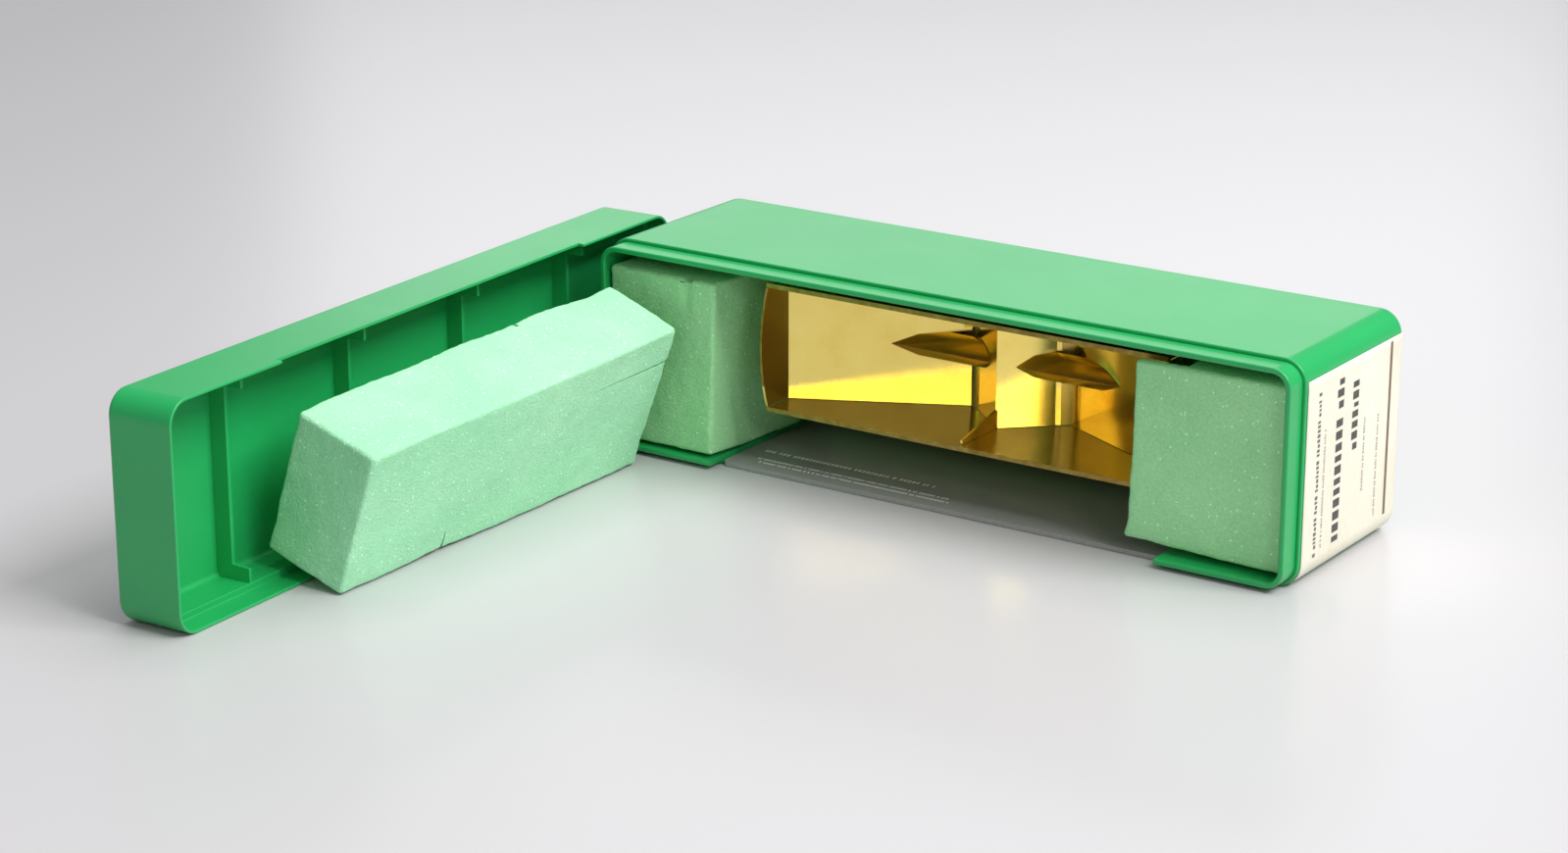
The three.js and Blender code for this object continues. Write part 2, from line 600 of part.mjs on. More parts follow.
function sideFrame() {
  const bow = outline([
    [-11.9, 3.4], [-8.4, 3.2], [-3.6, 1.9], [3.6, 1.9], [8.4, 3.2], [11.9, 3.4],
    [11.9, 6.6], [8.6, 7.2], [4.2, 8.8], [-4.2, 8.8], [-8.6, 7.2], [-11.9, 6.6],
  ]);
  const holes = [-1, 1].map((s) => {
    const points = [[s * 3.2, 3.6], [s * 7, 4.6], [s * 7, 6], [s * 3.2, 7.2]];
    return alongY(outline(s > 0 ? points : points.reverse()), FRAME_IN - 1, FRAME_OUT + 1);
  });
  const boxes = [-1, 1].map((s) => {
    const x = s * AXLE_OFFSET;
    return block([x - 1.5, x + 1.5], [FRAME_OUT - 0.5, BOX_OUT], [AXLE_HEIGHT - 1.6, AXLE_HEIGHT + 1.6]);
  });
  const bores = [-1, 1].map((s) => {
    return rod(AXLE_TIP + 0.1, FRAME_IN - 1, BOX_OUT - 0.5, 'y', [s * AXLE_OFFSET, AXLE_HEIGHT]);
  });
  const spring = block([-2.6, 2.6], [FRAME_OUT - 0.3, FRAME_OUT + 0.6], [2.6, 7.6]);
  return cut(join(alongY(bow, FRAME_IN, FRAME_OUT), ...boxes, spring), ...holes, ...bores);
}

function wheelset(name, x) {
  const half = [
    [1.1, 0], [1.1, 7.2], [5.3, 7.2], [5.5, 7.55], [5.05, 8], [4.8, 8.3], [4.72, 9.8],
    [4.1, 9.8], [3.9, 9.2], [1.7, 9.3], [1.7, 10], [AXLE_TIP, 10], [AXLE_TIP, 12.2], [0, 12.2],
  ];
  const upper = half.map(([r, y]) => new THREE.Vector2(r, y));
  const lower = half.map(([r, y]) => new THREE.Vector2(r, -y)).reverse();
  const profile = [...lower, ...upper];
  const set = new THREE.LatheGeometry(profile, 20);
  return part(name, toGeometry(solid(set.translate(x, 0, AXLE_HEIGHT))), 'wheelMetal');
}

function truck(letter, s) {
  const group = new THREE.Group();
  const frame = sideFrame();
  const bolster = cut(
    block([-1.9, 1.9], [0.15 - FRAME_IN, FRAME_IN - 0.15], [4.7, 7.6]),
    rod(0.95, 4, 9, 'z', [0, 0]),
  );
  const screw = join(
    rod(1.6, 3.6, 4.5, 'z', [0, 0]),
    rod(0.8, 4.4, 9.8, 'z', [0, 0], 12),
  );
  group.add(part(`truck_frame_${letter}_upper`, frame, 'brass'));
  group.add(part(`truck_frame_${letter}_lower`, frame.clone().rotateZ(Math.PI), 'brass'));
  group.add(part(`truck_bolster_${letter}`, bolster, 'brass'));
  group.add(part(`kingpin_screw_${letter}`, screw, 'screwMetal'));
  group.add(wheelset(`wheelset_${letter}_outer`, s * AXLE_OFFSET));
  group.add(wheelset(`wheelset_${letter}_inner`, -s * AXLE_OFFSET));
  group.position.set(s * TRUCK_CENTRE, 0, 0);
  return group;
}

// ---- assembly --------------------------------------------------------------------------
function hopperCar() {
  const car = new THREE.Group();
  car.add(...sides(), centreRidge(), centreSill());
  for (const [letter, s] of [['a', -1], ['b', 1]]) {
    car.add(endSheet(`end_sheet_${letter}`, s));
    car.add(slopeSheet(`slope_sheet_${letter}`, s));
    car.add(sillHood(`sill_hood_${letter}`, s));
    car.add(hopperDoor(`hopper_door_${letter}_upper`, s, s > 0 ? 0.3 : -INNER, s > 0 ? INNER : -0.3));
    car.add(hopperDoor(`hopper_door_${letter}_lower`, s, s > 0 ? -INNER : 0.3, s > 0 ? -0.3 : INNER));
    car.add(endSill(`end_sill_${letter}`, s));
    car.add(bodyBolster(`body_bolster_${letter}`, s));
    for (const [height, side] of [['upper', 1], ['lower', -1]]) {
      car.add(ladder(`ladder_${letter}_${height}`, s * 56.3, side));
    }
    const { box, coupler, screw } = couplerParts(letter, s);
    car.add(box, coupler, screw, truck(letter, s));
  }
  const brake = brakeParts();
  car.add(brake.wheel, ...brake.fixed);
  car.position.set(CAR_X, CAR_RAIL_Y, CAR_MIDDLE_Z);
  car.rotation.x = Math.PI / 2;
  return car;
}

const model = new THREE.Group();
model.add(caseBase(), sideWindow(), endLabel(), caseLid());
model.add(foamPadLeft(), foamPadRight(), foamPadBack(), foamStrip());
model.add(hopperCar());

export default model;
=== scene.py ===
"""A brass twin hopper car on its side in its open green storage case, with foam pads."""

import json
import math

import bmesh
import bpy
import numpy as np
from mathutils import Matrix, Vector


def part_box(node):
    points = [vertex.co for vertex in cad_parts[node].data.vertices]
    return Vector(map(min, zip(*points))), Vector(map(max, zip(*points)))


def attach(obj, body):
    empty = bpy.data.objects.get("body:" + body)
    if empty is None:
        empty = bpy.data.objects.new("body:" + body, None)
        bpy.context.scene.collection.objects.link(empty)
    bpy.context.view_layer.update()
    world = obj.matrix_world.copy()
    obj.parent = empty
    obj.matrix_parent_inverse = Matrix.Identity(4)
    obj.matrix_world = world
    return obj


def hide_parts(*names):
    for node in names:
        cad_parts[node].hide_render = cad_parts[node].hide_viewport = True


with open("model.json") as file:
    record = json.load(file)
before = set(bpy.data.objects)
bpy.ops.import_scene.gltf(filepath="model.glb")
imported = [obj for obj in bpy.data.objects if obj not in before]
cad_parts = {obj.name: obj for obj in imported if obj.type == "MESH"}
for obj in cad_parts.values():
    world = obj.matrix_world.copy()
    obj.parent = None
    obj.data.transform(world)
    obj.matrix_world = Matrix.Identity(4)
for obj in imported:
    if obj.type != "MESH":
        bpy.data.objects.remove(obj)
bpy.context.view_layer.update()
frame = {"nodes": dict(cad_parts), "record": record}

RECORD = frame["record"]
NODE_BODY = {
    node: body for body, nodes in RECORD["behaviour"]["bodies"].items() for node in nodes
}
NODE_SLOT = {row["node"]: row["material_slot"] for row in RECORD["subparts"]}

MM = 0.001


def node_box(node):
    """The low and high corners of a CAD node, in millimetres."""
    return (np.array(corner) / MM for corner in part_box(node))


# ---- camera, light and floor ------------------------------------------------------------
CAMERA_PLACE = (0.4858, -0.8067, 0.3201)
CAMERA_FORWARD = (-0.5378, 0.7852, -0.3071)
LENS_MM = 83.58
SENSOR_MM = 36


def set_camera():
    """A long lens 18 degrees above the table, 34 degrees to the right of the open front."""
    data = bpy.data.cameras.new("view")
    data.lens = LENS_MM
    data.sensor_width = SENSOR_MM
    camera = bpy.data.objects.new("view", data)
    bpy.context.scene.collection.objects.link(camera)
    camera.location = CAMERA_PLACE
    camera.rotation_mode = "QUATERNION"
    camera.rotation_quaternion = Vector(CAMERA_FORWARD).to_track_quat("-Z", "Y")
    bpy.context.scene.camera = camera


def set_world(color, strength):
    """An even pale surround."""
    world = bpy.data.worlds.new("studio")
    world.use_nodes = True
    background = world.node_tree.nodes["Background"]
    background.inputs["Color"].default_value = (*color, 1)
    background.inputs["Strength"].default_value = strength
    bpy.context.scene.world = world


def area_light(name, place, target, size, power, color=(1, 1, 1)):
    """A rectangular soft box at place, facing target: size in metres, power in watts."""
    data = bpy.data.lights.new(name, "AREA")
    data.shape = "RECTANGLE"
    data.size, data.size_y = size
    data.energy = power
    data.color = color
    light = bpy.data.objects.new(name, data)
    light.location = place
    light.rotation_mode = "QUATERNION"
    light.rotation_quaternion = (Vector(target) - Vector(place)).to_track_quat("-Z", "Y")
    bpy.context.scene.collection.objects.link(light)


WARM_WHITE = (1, 0.98, 0.95)
FLOOR_REACH = 4
FLOOR_LEVEL = -0.0001


def studio():
    """A dim even surround, large soft boxes above, right and behind, and small ones in front."""
    bpy.context.scene.view_settings.view_transform = "Standard"
    set_world((0.95, 0.95, 1.0), 0.2)
    middle = (0, -0.03, 0.03)
    area_light("high_panel", (0.1, 0.45, 2.2), middle, (2.0, 1.8), 31)
    area_light("right_panel", (1.5, 0.0, 1.65), middle, (1.2, 0.9), 48)
    area_light("back_panel", (-1.4, 2.2, 0.8), (-0.1, 0, 0.05), (1.3, 0.7), 4.8)
    area_light("key", (0.93, -0.66, 0.56), middle, (0.26, 0.14), 1.6, WARM_WHITE)
    area_light("front_panel", (0.43, -1.18, 0.67), middle, (0.46, 0.2), 0.5, WARM_WHITE)
    area_light("front_core", (0.42, -1.14, 0.64), middle, (0.22, 0.07), 0.35)
    area_light("left_panel", (-0.26, -1.22, 0.55), middle, (0.3, 0.25), 0.4)
    lay_floor()


def lay_floor():
    """One large square just below the surface that the case rests on."""
    mesh = bpy.data.meshes.new("floor")
    near, far = -FLOOR_REACH, FLOOR_REACH
    corners = [(near, near, 0), (far, near, 0), (far, far, 0), (near, far, 0)]
    mesh.from_pydata(corners, [], [(0, 1, 2, 3)])
    floor = bpy.data.objects.new("floor", mesh)
    bpy.context.scene.collection.objects.link(floor)
    floor.location.z = FLOOR_LEVEL
    mesh.materials.append(floor_finish())


# ---- node helpers -----------------------------------------------------------------------
MIX_FACTOR, MIX_A, MIX_B, MIX_RESULT = 0, 6, 7, 2


class Finish:
    """A node material built from short calls."""

    def __init__(self, name):
        self.material = bpy.data.materials.new(name)
        self.material.use_nodes = True
        self.tree = self.material.node_tree
        self.shader = self.tree.nodes["Principled BSDF"]
        self.place = self.tree.nodes.new("ShaderNodeTexCoord").outputs["Object"]

    def set(self, **values):
        """Plain numbers and colours on the shader's own sockets."""
        for name, value in values.items():
            socket = self.shader.inputs[name.replace("_", " ")]
            socket.default_value = (*value, 1) if isinstance(value, tuple) else value

    def noise(self, scale, detail=3, rough=0.55, stretch=None):
        """Noise on Object coordinates, stretched by a Mapping where the grain has a direction."""
        node = self.tree.nodes.new("ShaderNodeTexNoise")
        node.inputs["Scale"].default_value = scale
        node.inputs["Detail"].default_value = detail
        node.inputs["Roughness"].default_value = rough
        self.tree.links.new(self.mapped(stretch), node.inputs["Vector"])
        return node.outputs["Fac"]

    def cells(self, scale):
        """Distance to the nearest cell centre."""
        node = self.tree.nodes.new("ShaderNodeTexVoronoi")
        node.inputs["Scale"].default_value = scale
        self.tree.links.new(self.place, node.inputs["Vector"])
        return node.outputs["Distance"]

    def mapped(self, stretch):
        """Object coordinates, scaled along each axis."""
        if stretch is None:
            return self.place
        node = self.tree.nodes.new("ShaderNodeMapping")
        node.inputs["Scale"].default_value = stretch
        self.tree.links.new(self.place, node.inputs["Vector"])
        return node.outputs["Vector"]

    def ramp(self, factor, *stops):
        """A colour for each value of factor: stops are (value, colour), a bare number is a grey."""
        node = self.tree.nodes.new("ShaderNodeValToRGB")
        elements = node.color_ramp.elements
        while len(elements) < len(stops):
            elements.new(0.5)
        for element, (value, color) in zip(elements, stops):
            element.position = value
            element.color = (*(color if isinstance(color, tuple) else (color,) * 3), 1)
        self.tree.links.new(factor, node.inputs["Fac"])
        return node.outputs["Color"]

    def mix(self, a, b, factor, blend="MIX"):
        """Blends two colours. The mix node's colour sockets go by number, as their names repeat."""
        node = self.tree.nodes.new("ShaderNodeMix")
        node.data_type = "RGBA"
        node.blend_type = blend
        node.inputs[MIX_FACTOR].default_value = factor
        self.tree.links.new(a, node.inputs[MIX_A])
        self.tree.links.new(b, node.inputs[MIX_B])
        return node.outputs[MIX_RESULT]

    def color(self, source):
        """Sets the base colour."""
        self.tree.links.new(source, self.shader.inputs["Base Color"])

    def roughness(self, factor, low, high):
        """Roughness runs from low to high with factor."""
        node = self.tree.nodes.new("ShaderNodeMapRange")
        node.inputs["To Min"].default_value = low
        node.inputs["To Max"].default_value = high
        self.tree.links.new(factor, node.inputs["Value"])
        self.tree.links.new(node.outputs["Result"], self.shader.inputs["Roughness"])

    def bump(self, *layers):
        """Each layer is (height, distance in metres); they add up."""
        normal = None
        for height, distance in layers:
            node = self.tree.nodes.new("ShaderNodeBump")
            node.inputs["Strength"].default_value = 1
            node.inputs["Distance"].default_value = distance
            self.tree.links.new(height, node.inputs["Height"])
            if normal is not None:
                self.tree.links.new(normal, node.inputs["Normal"])
            normal = node.outputs["Normal"]
        self.tree.links.new(normal, self.shader.inputs["Normal"])


# ---- finishes ---------------------------------------------------------------------------
def floor_finish():
    """A pale satin table top."""
    f = Finish("table_top")
    f.set(Base_Color=(0.57, 0.56, 0.57), Roughness=0.28, Specular_IOR_Level=0.35)
    return f.material


def case_finish():
    """Saturated green moulded plastic with a fine satin skin and faint flow marks."""
    f = Finish("case_plastic")
    flow = f.noise(18, 4, 0.6, (1, 1, 2.4))
    skin = f.noise(1500, 2)
    deep, middle, pale = (0.012, 0.37, 0.098), (0.014, 0.4, 0.106), (0.018, 0.43, 0.116)
    f.color(f.ramp(flow, (0.25, deep), (0.6, middle), (0.85, pale)))
    f.roughness(f.noise(60, 3), 0.34, 0.42)
    f.bump((flow, 0.00006), (skin, 0.00001))
    f.set(IOR=1.52, Coat_Weight=0.25, Coat_Roughness=0.28)
    return f.material


def foam_finish(name, pale, deep):
    """Fine open-cell foam: flat cut faces with fine pores and grains and scattered white specks."""
    f = Finish(name)
    pores = f.cells(1500)
    grains = f.noise(1100, 3, 0.7)
    cloud = f.noise(38, 4, 0.6)
    tone = f.ramp(cloud, (0.3, deep), (0.7, pale))
    pore_shade = f.ramp(pores, (0.05, 1.12), (0.3, 1.0), (0.8, 0.95))
    grain_shade = f.ramp(grains, (0.3, 0.92), (0.7, 1.06))
    grain = f.mix(pore_shade, grain_shade, 1.0, "MULTIPLY")
    specks = f.ramp(f.cells(430), (0.08, 0.3), (0.16, 0.0))
    f.color(f.mix(f.mix(tone, grain, 1.0, "MULTIPLY"), specks, 1.0, "ADD"))
    f.roughness(cloud, 0.85, 0.98)
    f.bump((f.noise(160, 3), 0.0001), (pores, 0.00012), (grains, 0.0001))
    f.set(Sheen_Weight=0.12, Sheen_Roughness=0.5, Sheen_Tint=(0.8, 1.0, 0.85))
    f.set(Specular_IOR_Level=0.1)
    return f.material


def brass_finish(name="brass", low=0.1, high=0.18, wave=0.00002, lean=0.0, metal=0.97):
    """Bright lacquered brass sheet: rolled grain, a slightly wavy surface and a little tarnish.
    Sides that lean in a little towards the rim get the lean as a slope along Y."""
    f = Finish(name)
    tarnish = f.noise(85, 5, 0.7)
    rolled = f.noise(260, 2, 0.5, (1, 14, 14))
    deep, middle, pale = (0.84, 0.62, 0.15), (0.90, 0.70, 0.19), (0.94, 0.76, 0.24)
    f.color(f.ramp(tarnish, (0.28, deep), (0.5, middle), (0.8, pale)))
    f.roughness(f.mix(tarnish, rolled, 0.5), low, high)
    layers = [(f.noise(45, 2, 0.4), wave), (rolled, 0.000003)]
    if lean:
        axes = f.tree.nodes.new("ShaderNodeSeparateXYZ")
        f.tree.links.new(f.place, axes.inputs[0])
        layers.append((axes.outputs["Y"], lean))
    f.bump(*layers)
    f.set(Metallic=metal)
    return f.material


def metal_finish(name, dark, light, low, high, metallic=1.0):
    """Turned or cast metal, with a mottled skin."""
    f = Finish(name)
    mottle = f.noise(420, 4, 0.65)
    f.color(f.ramp(mottle, (0.3, dark), (0.7, light)))
    f.roughness(mottle, low, high)
    f.bump((mottle, 0.00002))
    f.set(Metallic=metallic)
    return f.material


def window_finish():
    """Clear moulded sheet with light scuffs. Its grey, at 0.68 alpha, is painted shade: it stands
    in for the shaded table and the dark reflections seen through the sheet.
    """
    f = Finish("window_plastic")
    scuffs = f.noise(700, 3, 0.6, (1, 9, 1))
    # Painted shade: the grey stands in for the shaded table seen through the pane, with scuffs
    # varying it.
    f.color(f.ramp(scuffs, (0.4, (0.44, 0.44, 0.42)), (0.8, (0.52, 0.52, 0.5))))
    f.roughness(scuffs, 0.12, 0.3)
    f.set(IOR=1.46, Alpha=0.68)
    return f.material


def paper_finish():
    """Cream label paper with fibres."""
    f = Finish("label_paper")
    fibres = f.noise(900, 4, 0.7, (1, 1, 0.3))
    cloud = f.noise(45, 3)
    tone = f.ramp(cloud, (0.3, (0.80, 0.77, 0.62)), (0.75, (0.87, 0.85, 0.72)))
    f.color(f.mix(tone, f.ramp(fibres, (0.35, 0.93), (0.65, 1.0)), 1.0, "MULTIPLY"))
    f.roughness(fibres, 0.5, 0.66)
    f.bump((fibres, 0.00002))
    return f.material


def ink_finish(name, dark, light):
    """Printing ink, a little uneven."""
    f = Finish(name)
    uneven = f.noise(1600, 3)
    f.color(f.ramp(uneven, (0.35, dark), (0.75, light)))
    f.roughness(uneven, 0.45, 0.65)
    return f.material


FINISH = {
    "case_plastic": case_finish(),
    "window_plastic": window_finish(),
    "label_paper": paper_finish(),
    "foam": foam_finish("foam", (0.42, 0.83, 0.52), (0.34, 0.76, 0.45)),
    "pad_foam": foam_finish("pad_foam", (0.42, 0.84, 0.43), (0.35, 0.77, 0.37)),
    "brass": brass_finish(),
    "side_brass": brass_finish("side_brass", 0.12, 0.2, 0.00002, -0.06),
    # Dark brass for the car's rim faces: painted shade and dark reflection.
    "rim_shade_brass": metal_finish("rim_shade_brass", (0.22, 0.14, 0.03), (0.42, 0.30, 0.08), 0.32, 0.45),
    "cast_brass": brass_finish("cast_brass", 0.24, 0.42, 0.0001, metal=0.8),
    "wheel_metal": metal_finish("wheel_metal", (0.42, 0.4, 0.36), (0.62, 0.6, 0.56), 0.16, 0.34),
    "coupler_metal": metal_finish(
        "coupler_metal", (0.05, 0.045, 0.04), (0.1, 0.09, 0.08), 0.4, 0.6, 0.8
    ),
    "screw_metal": metal_finish("screw_metal", (0.5, 0.49, 0.46), (0.66, 0.65, 0.62), 0.2, 0.35),
    "ink": ink_finish("label_ink", (0.05, 0.045, 0.045), (0.12, 0.11, 0.1)),
    "ink_grey": ink_finish("grey_ink", (0.12, 0.11, 0.11), (0.24, 0.22, 0.21)),
    "faint_ink": ink_finish("faint_ink", (0.3, 0.27, 0.24), (0.46, 0.43, 0.38)),
    # Dark brown for the thin band near the label's back edge.
    "border_ink": ink_finish("border_ink", (0.14, 0.1, 0.06), (0.24, 0.17, 0.1)),
    "white_ink": ink_finish("white_ink", (0.78, 0.79, 0.76), (0.92, 0.92, 0.9)),
}


# ---- mesh helpers -----------------------------------------------------------------------
def mesh_object(name, points, faces):
    """A linked object with a mesh of the given faces, from points in millimetres."""
    mesh = bpy.data.meshes.new(name)
    metres = (np.asarray(points, float) * MM).tolist()
    mesh.from_pydata(metres, [], [list(map(int, face)) for face in faces])
    obj = bpy.data.objects.new(name, mesh)
    bpy.context.scene.collection.objects.link(obj)
    return obj


def piece(name, points, faces, finish, body, stands_for=(), sharp=35, slot=None):
    """A finished mesh from points in millimetres, riding on a body and standing for CAD nodes."""
    obj = mesh_object(name, points, faces)
    obj.data.validate()
    obj.data.materials.append(FINISH[finish])
    weld(obj)
    smooth(obj, sharp)
    settle(obj, body, stands_for)
    return obj


def settle(obj, body, stands_for):
    """Puts a finished piece on its body and hides the CAD nodes it stands for."""
    if stands_for:
        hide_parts(*stands_for)
    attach(obj, body)


def weld(obj, distance=1e-6):
    """Merges doubled vertices and turns faces outwards."""
    bm = bmesh.new()
    bm.from_mesh(obj.data)
    bmesh.ops.remove_doubles(bm, verts=bm.verts, dist=distance)
    bmesh.ops.recalc_face_normals(bm, faces=bm.faces)
    bm.to_mesh(obj.data)
    bm.free()


def smooth(obj, sharp):
    """Smooth shading, with edges sharper than the angle kept."""
    obj.data.shade_smooth()
    obj.data.set_sharp_from_angle(angle=math.radians(sharp))


def apply_modifiers(obj):
    """Bakes the modifier stack into the mesh."""
    bpy.context.view_layer.update()
    graph = bpy.context.evaluated_depsgraph_get()
    baked = bpy.data.meshes.new_from_object(obj.evaluated_get(graph), depsgraph=graph)
    obj.modifiers.clear()
    obj.data = baked


SHARP_AFTER_BEVEL = 32


def bevel(obj, width, angle=50):
    """Rounds the edges that turn by more than the angle, width in millimetres, and keeps wide
    faces flat."""
    modifier = obj.modifiers.new("edge", "BEVEL")
    modifier.width = width * MM
    modifier.segments = 2
    modifier.limit_method = "ANGLE"
    modifier.angle_limit = math.radians(angle)
    modifier.use_clamp_overlap = True
    apply_modifiers(obj)
    smooth(obj, SHARP_AFTER_BEVEL)
    modifier = obj.modifiers.new("flat", "WEIGHTED_NORMAL")
    modifier.keep_sharp = True
    apply_modifiers(obj)


def carve(obj, *tools):
    """Subtracts closed meshes, given as (points in mm, faces), from obj."""
    for points, faces in tools:
        tool = mesh_object("tool", points, faces)
        weld(tool)
        modifier = obj.modifiers.new("cut", "BOOLEAN")
        modifier.operation = "DIFFERENCE"
        modifier.solver = "EXACT"
        modifier.object = tool
        apply_modifiers(obj)
        bpy.data.objects.remove(tool)


def grid_faces(rows, columns, close_columns=False):
    """Quads between the points of a rows by columns grid, its last column joined to the first
    where asked."""
    r = np.arange(rows - 1)
    c = np.arange(columns if close_columns else columns - 1)
    r, c = (a.ravel() for a in np.meshgrid(r, c, indexing="ij"))
    r1, c1 = r + 1, (c + 1) % columns
    return np.stack([r * columns + c, r * columns + c1, r1 * columns + c1, r1 * columns + c], 1)


def box_mesh(x, y, z):
    """A plain block between two corners, as points and faces."""
    points = np.array([(a, b, c) for a in x for b in y for c in z], float)
    faces = [(0, 1, 3, 2), (4, 6, 7, 5), (0, 4, 5, 1), (2, 3, 7, 6), (0, 2, 6, 4), (1, 5, 7, 3)]
    return points, faces


def joined(*shapes):
    """Several (points, faces) as one."""
    points, faces, start = [], [], 0
    for p, f in shapes:
        points.append(np.asarray(p, float))
        faces.extend([tuple(int(i) + start for i in face) for face in f])
        start += len(p)
    return np.concatenate(points), faces


WAVE_COUNT = 24


def waves(points, size, seed):
    """Smooth random height at each point p, about -1 to 1: the sum over k of
    sin(2 pi d_k . p / s_k + c_k) / (1.2 sqrt(n)), with n random directions d_k, wavelengths s_k
    of 0.6 to 1.6 times the size, and phases c_k."""
    rng = np.random.default_rng(seed)
    direction = rng.normal(size=(WAVE_COUNT, 3))
    direction /= np.linalg.norm(direction, axis=1)[:, None]
    rate = 2 * np.pi / (size * rng.uniform(0.6, 1.6, WAVE_COUNT))
    phase = rng.uniform(0, 2 * np.pi, WAVE_COUNT)
    heights = np.sin(points @ (direction * rate[:, None]).T + phase).sum(1)
    return heights / math.sqrt(WAVE_COUNT) / 1.2


# ---- case shells ------------------------------------------------------------------------
LOW, HIGH = node_box("case_base")
CASE_HALF = HIGH[0]
CASE_HEIGHT = HIGH[2]
LIP_FRONT = LOW[1]
LIP_REACH = 6.5
BASE_FRONT = LIP_FRONT + LIP_REACH
BASE_BACK = HIGH[1]
CORNER = 6.4
WALL = 2.6


def frame_path(inset, steps=12):
    """Points (x, z) round the case outline, moved inwards by inset, corners as arcs."""
    radius = max(CORNER - inset, 0.3)
    turn = np.linspace(0, math.pi / 2, steps)
    half = CASE_HALF - inset - radius
    up = CASE_HEIGHT / 2 - inset - radius
    middle = CASE_HEIGHT / 2
    corners = [(half, middle - up, -math.pi / 2), (half, middle + up, 0)]
    corners += [(-half, middle + up, math.pi / 2), (-half, middle - up, math.pi)]
    rings = []
    for x, z, start in corners:
        angle = start + turn
        rings.append(np.stack([x + radius * np.cos(angle), z + radius * np.sin(angle)], 1))
    return np.concatenate(rings)


def arc(centre, radius, start, end, steps=5):
    """Points on a circle, angles in degrees."""
    angles = np.radians(np.linspace(start, end, steps))
    return [(centre[0] + radius * math.cos(a), centre[1] + radius * math.sin(a)) for a in angles]


def tub(profile):
    """The case outline swept by a wall profile of (inset, depth), closed by flat panels at both
    ends."""
    rings = [np.insert(frame_path(inset), 1, depth, axis=1) for inset, depth in profile]
    count = len(rings[0])
    points = np.concatenate(rings)
    faces = grid_faces(len(rings), count, close_columns=True).tolist()
    faces.append(list(range(count)))
    faces.append(list(range((len(rings) - 1) * count, len(rings) * count))[::-1])
    return points, faces


WINDOW_GAP = 0.3


def case_base():
    """Outer back edge, wall, rim step, lip, inner wall and floor, with the window cut out of the
    lower side."""
    f, b, lip = BASE_FRONT, BASE_BACK, LIP_FRONT
    profile = arc((1.5, b - 1.5), 1.5, 90, 180, 6)
    profile += arc((0.4, f + 0.4), 0.4, 180, 270, 4)
    profile += [(0.85, f), (0.98, f + 0.2), (1.05, f - 0.1)]
    profile += arc((1.5, lip + 0.45), 0.45, 180, 270, 5)
    profile += arc((2.15, lip + 0.45), 0.45, 270, 360, 5)
    profile += [(WALL, f), (2.7, b - 3.8)]
    profile += arc((3.9, b - 3.8), 1.2, 180, 90, 5)[1:]
    base = piece("case_base_shell", *tub(profile), "case_plastic", "case", ("case_base",))
    lo, hi = node_box("side_window")
    wide = (lo[0] - WINDOW_GAP, hi[0] + WINDOW_GAP)
    carve(base, rounded_block(wide, (lip - 9, hi[1] + WINDOW_GAP), (-3, 4), 2.5))
    bevel(base, 0.22)


def rounded_block(x, y, z, radius, steps=6):
    """A block whose upright edges along z are rounded."""
    turn = np.linspace(0, math.pi / 2, steps)
    left, right = x[0] + radius, x[1] - radius
    front, back = y[0] + radius, y[1] - radius
    corners = [(right, front, -math.pi / 2), (right, back, 0)]
    corners += [(left, back, math.pi / 2), (left, front, math.pi)]
    arcs = []
    for a, b, start in corners:
        angle = start + turn
        arcs.append(np.stack([a + radius * np.cos(angle), b + radius * np.sin(angle)], 1))
    ring = np.concatenate(arcs)
    count = len(ring)
    points = np.concatenate([np.insert(ring, 2, level, axis=1) for level in z])
    faces = grid_faces(2, count, close_columns=True).tolist()
    faces += [list(range(count)), list(range(count, 2 * count))[::-1]]
    return points, faces


LID_TURN = math.radians(92.6)
LID_DEPTH = 20.0
LID_RIBS = (-72.5, -23.5, 25.5, 74.5)
NOTCH_HALF = 65.0
GUSSET = 6.4
RIB_HALF, RIB_TAPER = 0.35, 0.02


def lid_place():
    """The lid's own frame: x along it, y into it from its rim, z up."""
    lo, hi = node_box("case_lid")
    sine, cosine = math.sin(LID_TURN), math.cos(LID_TURN)
    turn = np.array([[cosine, -sine, 0], [sine, cosine, 0], [0, 0, 1]])
    middle = turn @ np.array([0, LID_DEPTH / 2, 0])
    centre = (lo + hi) / 2 - middle
    return turn, np.array([centre[0], centre[1], 0])


def to_lid(points):
    """From the lid's own frame to where it stands."""
    turn, centre = lid_place()
    return np.asarray(points, float) @ turn.T + centre


def case_lid():
    """Shallow tub with a rabbet inside its rim, a notch in one long wall and four ribs with
    gussets."""
    d = LID_DEPTH
    profile = arc((1.5, d - 1.5), 1.5, 90, 180, 6)
    profile += arc((0.3, 0.3), 0.3, 180, 270, 4) + [(0.72, 0), (0.85, 0.2)]
    shelf = LIP_REACH + 0.4
    profile += [(0.85, shelf - 0.15), (1.0, shelf), (2.45, shelf), (WALL, shelf + 0.15)]
    profile += [(2.7, d - 4)]
    profile += arc((4.1, d - 4), 1.4, 180, 90, 5)[1:]
    points, faces = tub(profile)
    lid = piece("case_lid_shell", to_lid(points), faces, "case_plastic", "lid", ("case_lid",))
    levels = (CASE_HEIGHT - 4, CASE_HEIGHT + 3)
    notch, notch_faces = box_mesh((-NOTCH_HALF, NOTCH_HALF), (-4, 2), levels)
    carve(lid, (to_lid(notch), notch_faces))
    bevel(lid, 0.2)
    ribs = piece("case_lid_ribs", *lid_ribs(), "case_plastic", "lid")
    bevel(ribs, 0.15)


